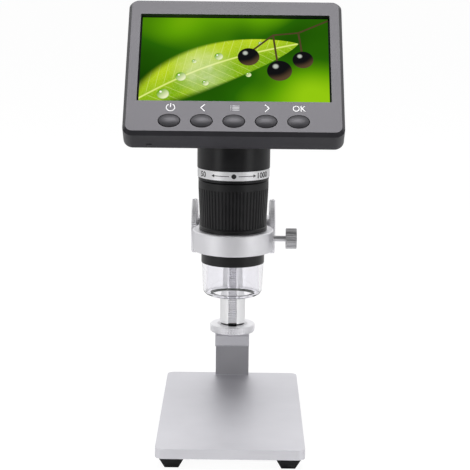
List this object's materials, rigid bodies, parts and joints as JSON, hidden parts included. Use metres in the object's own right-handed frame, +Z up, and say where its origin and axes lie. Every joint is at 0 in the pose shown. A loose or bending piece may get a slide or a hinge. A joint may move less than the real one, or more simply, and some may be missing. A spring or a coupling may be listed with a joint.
{
  "type": "lcd digital microscope",
  "caption": "Desktop digital microscope: tilted screen head with round buttons on a black tube with a focus ring, in a ring holder on a rack and pinion column over a flat base plate.",
  "frame": {"origin": "on the bench, under the middle of the base plate", "axes": "+X the user's right, -Y towards the user, +Z up"},
  "size_m": [0.1102, 0.134, 0.2245],
  "materials": {
    "plate_aluminium": "bead-blasted, satin anodised",
    "cast_aluminium": "satin anodised",
    "turned_aluminium": "turned and knurled",
    "column_steel": "ground, bright",
    "rack_steel": "cut teeth, dull",
    "dark_steel": "knurled, dull nickel",
    "nylon": "turned nylon",
    "brass": "turned brass",
    "screw_steel": "zinc-plated",
    "foot_rubber": "moulded rubber",
    "case_plastic": "fine satin moulding",
    "tube_plastic": "satin moulding",
    "grip_plastic": "ribbed satin moulding",
    "button_plastic": "satin moulding",
    "band_silver": "printed silver film",
    "clear_plastic": "clear moulded acrylic",
    "lens_glass": "coated glass",
    "display": "display glass",
    "screen_sheet": "folded sheet steel",
    "circuit_board": "solder-masked board",
    "chip_black": "moulded chip package",
    "lamp_white": "phosphor-topped lamp",
    "socket_steel": "stamped steel shell",
    "battery_foil": "pouch foil",
    "cable_film": "polyimide film"
  },
  "bodies": {
    "base": {"base_plate": "plate_aluminium", "angle_bracket": "plate_aluminium", "bracket_screws": "screw_steel", "foot_front_left": "foot_rubber", "foot_front_right": "foot_rubber", "foot_rear_left": "foot_rubber", "foot_rear_right": "foot_rubber", "column": "column_steel", "column_rack": "rack_steel", "column_cap": "turned_aluminium"},
    "lock_nut": {"lock_nut": "turned_aluminium"},
    "carriage": {"carriage_block": "cast_aluminium", "tension_screw": "screw_steel", "pinion_bushes": "brass", "holder_ring": "cast_aluminium", "arm_screws": "screw_steel"},
    "height_drive": {"pinion_shaft": "column_steel", "height_knob_left": "turned_aluminium", "height_knob_right": "turned_aluminium", "knob_set_screws": "screw_steel"},
    "clamp": {"clamp_screw": "dark_steel", "clamp_pad": "nylon", "clamp_knob": "dark_steel"},
    "microscope": {"lower_barrel": "tube_plastic", "clear_cap": "clear_plastic", "light_board": "circuit_board", "lights": "lamp_white", "focus_tube": "tube_plastic", "neck": "tube_plastic", "neck_plate": "tube_plastic", "neck_screws": "screw_steel", "scale_band": "band_silver", "sensor_board": "circuit_board", "image_sensor": "chip_black", "dimmer_pot": "chip_black", "screen_frame": "screen_sheet", "screen_panel": "display", "button_switches": "chip_black", "button_board": "circuit_board", "main_board": "circuit_board", "usb_socket": "socket_steel", "card_socket": "socket_steel", "battery": "battery_foil", "flat_cable": "cable_film", "front_bezel": "case_plastic", "rear_cover": "case_plastic", "case_screws": "screw_steel"},
    "focus_ring": {"focus_ring": "grip_plastic"},
    "lens_carrier": {"lens_barrel": "tube_plastic", "drive_pin": "screw_steel", "front_lens": "lens_glass", "rear_lens": "lens_glass"},
    "dimmer": {"dimmer_wheel": "grip_plastic"},
    "button_power": {"button_power": "button_plastic"},
    "button_left": {"button_left": "button_plastic"},
    "button_menu": {"button_menu": "button_plastic"},
    "button_right": {"button_right": "button_plastic"},
    "button_ok": {"button_ok": "button_plastic"}
  },
  "joints": [
    {"name": "carriage_slide", "type": "slide", "parent": "base", "child": "carriage", "axis": [0, 0, 1], "range_m": [-0.038, 0.025]},
    {"name": "height_knob_turn", "type": "hinge", "parent": "carriage", "child": "height_drive", "pos_m": [0, 0.0399, 0.1023], "axis": [1, 0, 0], "range_deg": [-360, 546]},
    {"name": "lock_nut_turn", "type": "hinge", "parent": "base", "child": "lock_nut", "pos_m": [0, 0.05, 0.0428], "axis": [0, 0, 1], "range_deg": [0, 450]},
    {"name": "clamp_turn", "type": "hinge", "parent": "carriage", "child": "clamp", "pos_m": [0.0306, 0.008, 0.1019], "axis": [1, 0, 0], "range_deg": [0, 450]},
    {"name": "microscope_swivel", "type": "hinge", "parent": "carriage", "child": "microscope", "pos_m": [0, 0.008, 0.1013], "axis": [0, 0, 1], "range_deg": [-75, 75]},
    {"name": "focus_turn", "type": "hinge", "parent": "microscope", "child": "focus_ring", "pos_m": [0, 0.008, 0.1197], "axis": [0, 0, 1], "range_deg": [-155, 155]},
    {"name": "lens_slide", "type": "slide", "parent": "microscope", "child": "lens_carrier", "axis": [0, 0, 1], "range_m": [-0.003, 0.003]},
    {"name": "dimmer_turn", "type": "hinge", "parent": "microscope", "child": "dimmer", "pos_m": [0, 0.0228, 0.164], "axis": [0, 0, 1], "range_deg": [-135, 135]},
    {"name": "power_press", "type": "slide", "parent": "microscope", "child": "button_power", "axis": [0, 0.7385, -0.6743], "range_m": [0, 0.0006], "stiffness_N_per_m": 400, "springref_m": -0.0003},
    {"name": "left_press", "type": "slide", "parent": "microscope", "child": "button_left", "axis": [0, 0.7385, -0.6743], "range_m": [0, 0.0006], "stiffness_N_per_m": 400, "springref_m": -0.0003},
    {"name": "menu_press", "type": "slide", "parent": "microscope", "child": "button_menu", "axis": [0, 0.7385, -0.6743], "range_m": [0, 0.0006], "stiffness_N_per_m": 400, "springref_m": -0.0003},
    {"name": "right_press", "type": "slide", "parent": "microscope", "child": "button_right", "axis": [0, 0.7385, -0.6743], "range_m": [0, 0.0006], "stiffness_N_per_m": 400, "springref_m": -0.0003},
    {"name": "ok_press", "type": "slide", "parent": "microscope", "child": "button_ok", "axis": [0, 0.7385, -0.6743], "range_m": [0, 0.0006], "stiffness_N_per_m": 400, "springref_m": -0.0003}
  ],
  "couplings": [
    {"joint": "height_knob_turn", "follows": "carriage_slide", "rad_per_m": -250},
    {"joint": "focus_turn", "follows": "lens_slide", "rad_per_m": -872.66}
  ]
}
